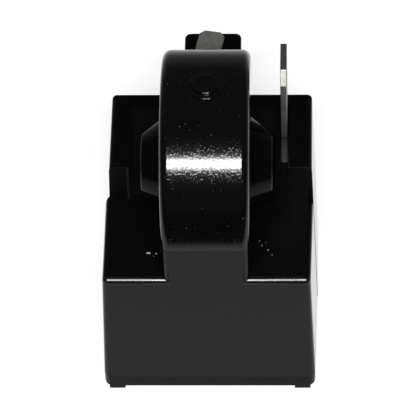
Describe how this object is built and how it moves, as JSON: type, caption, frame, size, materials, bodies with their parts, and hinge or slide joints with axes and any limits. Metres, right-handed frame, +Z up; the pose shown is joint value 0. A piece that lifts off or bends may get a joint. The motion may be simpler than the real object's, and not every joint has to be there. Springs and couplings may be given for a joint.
{
  "type": "compressor start relay",
  "caption": "Plug-on PTC start relay for a refrigerator compressor: black moulded box with a round drum, an upright blade terminal and a flat rear terminal.",
  "frame": {"origin": "centre of the bounding box, at the height of the feet's undersides", "axes": "+X to the right with the shelf facing the viewer, +Y from the shelf to the tongue, +Z up along the compressor's pins"},
  "size_m": [0.027, 0.0364, 0.0411],
  "materials": {
    "housing": "gloss moulded",
    "base_lid": "satin moulded",
    "ptc_pill": "silvered",
    "start_contact_spring": "stamped",
    "run_contact_spring": "stamped",
    "start_pin_sleeve": "rolled",
    "run_pin_sleeve": "rolled",
    "start_sleeve_clip": "stamped",
    "run_sleeve_clip": "stamped",
    "blade_terminal": "tinned",
    "rear_terminal": "tinned",
    "terminal_rivet": "plain",
    "start_link": "stamped"
  },
  "bodies": {
    "root": {"housing": "housing", "base_lid": "base_lid", "ptc_pill": "ptc_pill", "start_contact_spring": "start_contact_spring", "run_contact_spring": "run_contact_spring", "start_pin_sleeve": "start_pin_sleeve", "run_pin_sleeve": "run_pin_sleeve", "start_sleeve_clip": "start_sleeve_clip", "run_sleeve_clip": "run_sleeve_clip", "blade_terminal": "blade_terminal", "rear_terminal": "rear_terminal", "terminal_rivet": "terminal_rivet", "start_link": "start_link"}
  },
  "joints": []
}
